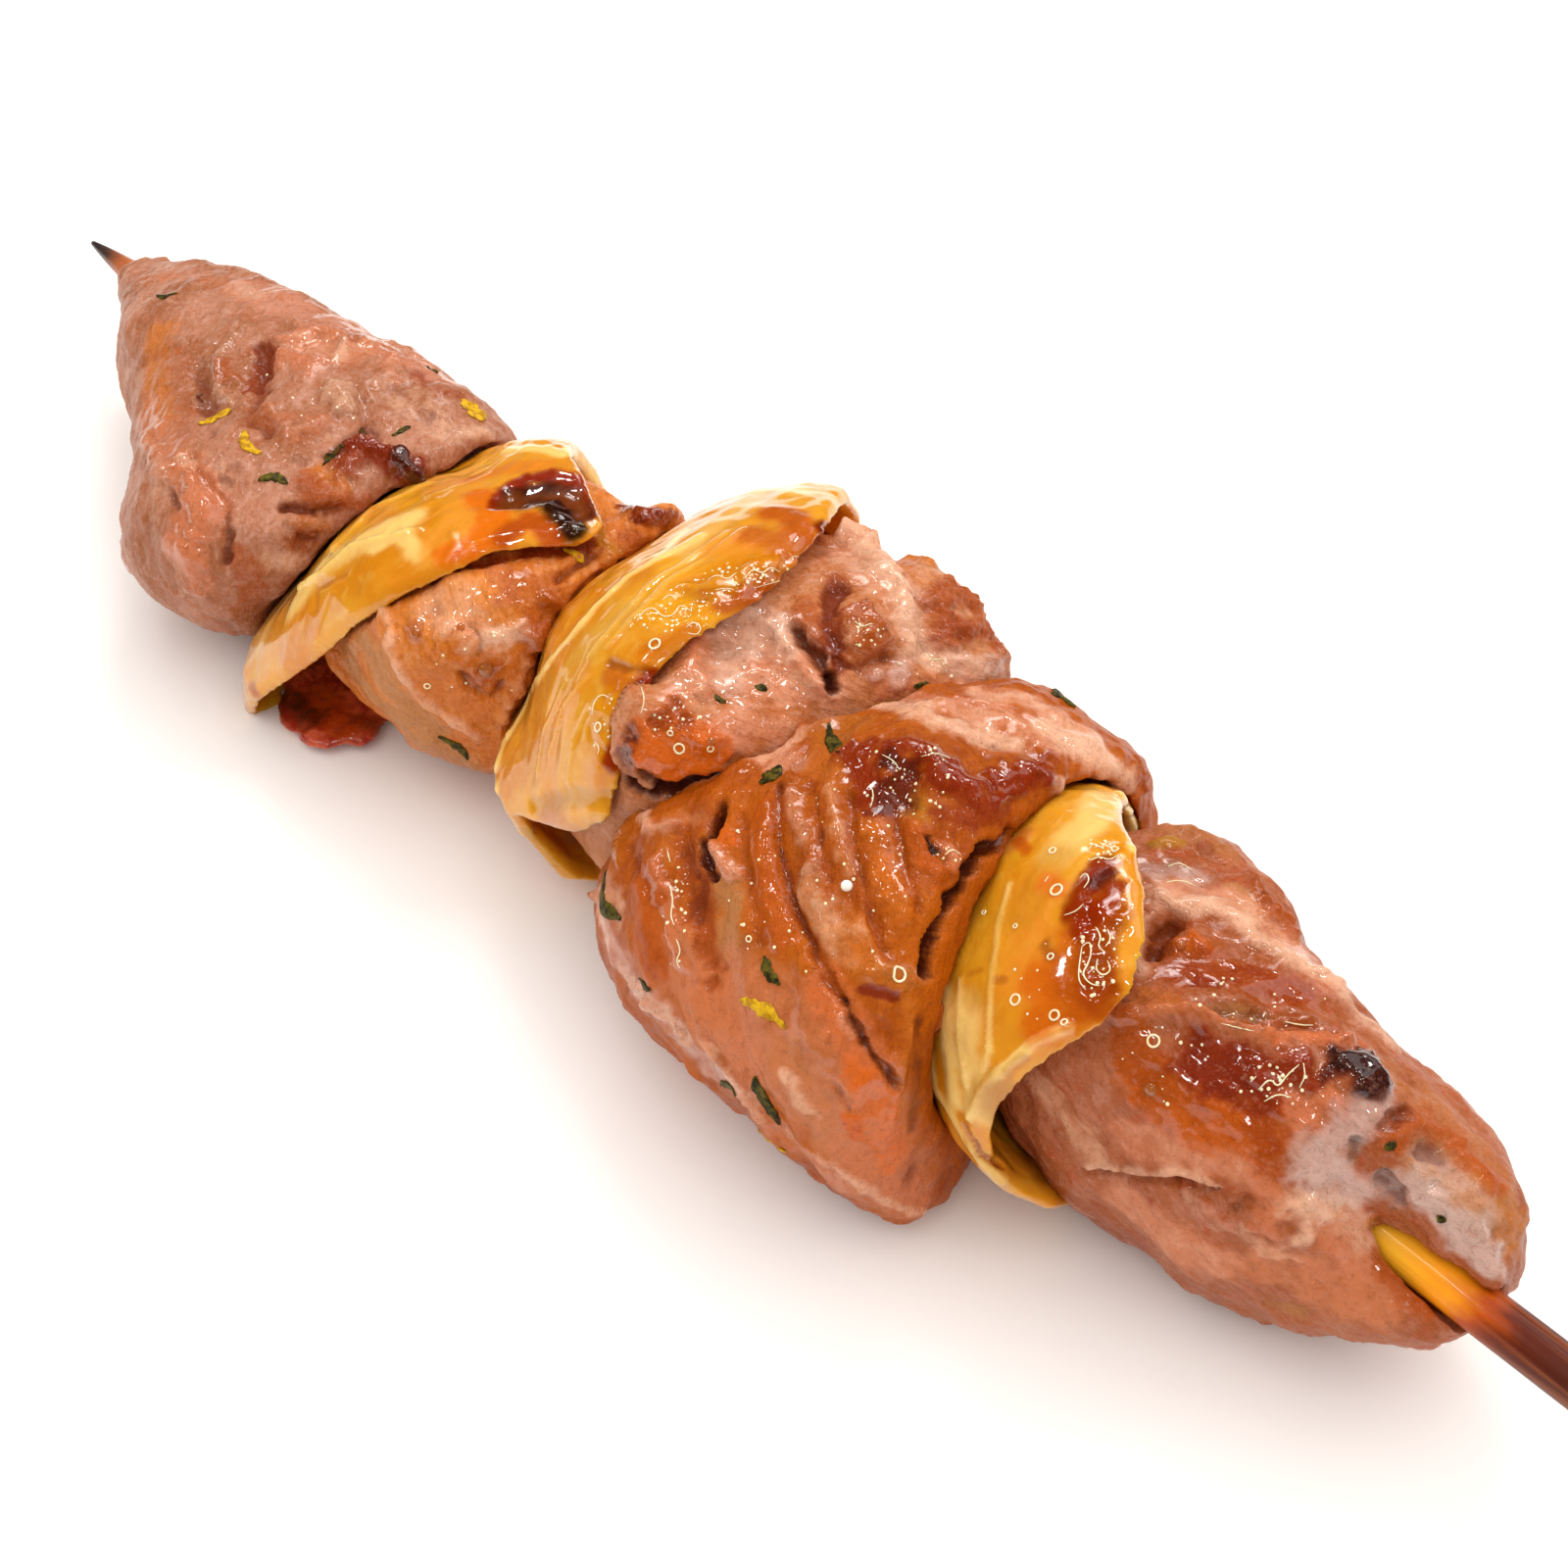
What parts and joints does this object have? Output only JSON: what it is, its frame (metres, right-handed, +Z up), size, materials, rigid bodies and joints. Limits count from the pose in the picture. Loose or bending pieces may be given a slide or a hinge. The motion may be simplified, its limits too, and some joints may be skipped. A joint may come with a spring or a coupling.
{
  "type": "kebab skewer",
  "caption": "Grilled meat chunks with cupped onion petals between them on a round bamboo stick, lying on its side; cooked, glazed and browned.",
  "frame": {"origin": "middle of the bounding box's underside, on the surface that the skewer lies on", "axes": "+X along the stick from its point to its handle end, +Z up, and +Y to the back, away from the side that the picture shows"},
  "size_m": [0.25, 0.0434, 0.0309],
  "materials": {
    "bamboo": "smooth split bamboo, browned and charred in places by the grill",
    "grilled_meat": "moist grilled meat with a thin glossy glaze, browned and charred on its ridges",
    "grilled_onion": "soft translucent onion with a wet gloss and charred rims",
    "charred_onion": "dark charred onion skin with a wet gloss"
  },
  "bodies": {
    "root": {"stick": "bamboo", "charred_scrap": "charred_onion", "onion_far": "grilled_onion", "onion_middle": "grilled_onion", "onion_near": "grilled_onion", "meat_far": "grilled_meat", "meat_second": "grilled_meat", "meat_third": "grilled_meat", "meat_fourth": "grilled_meat", "meat_near": "grilled_meat"}
  },
  "joints": []
}
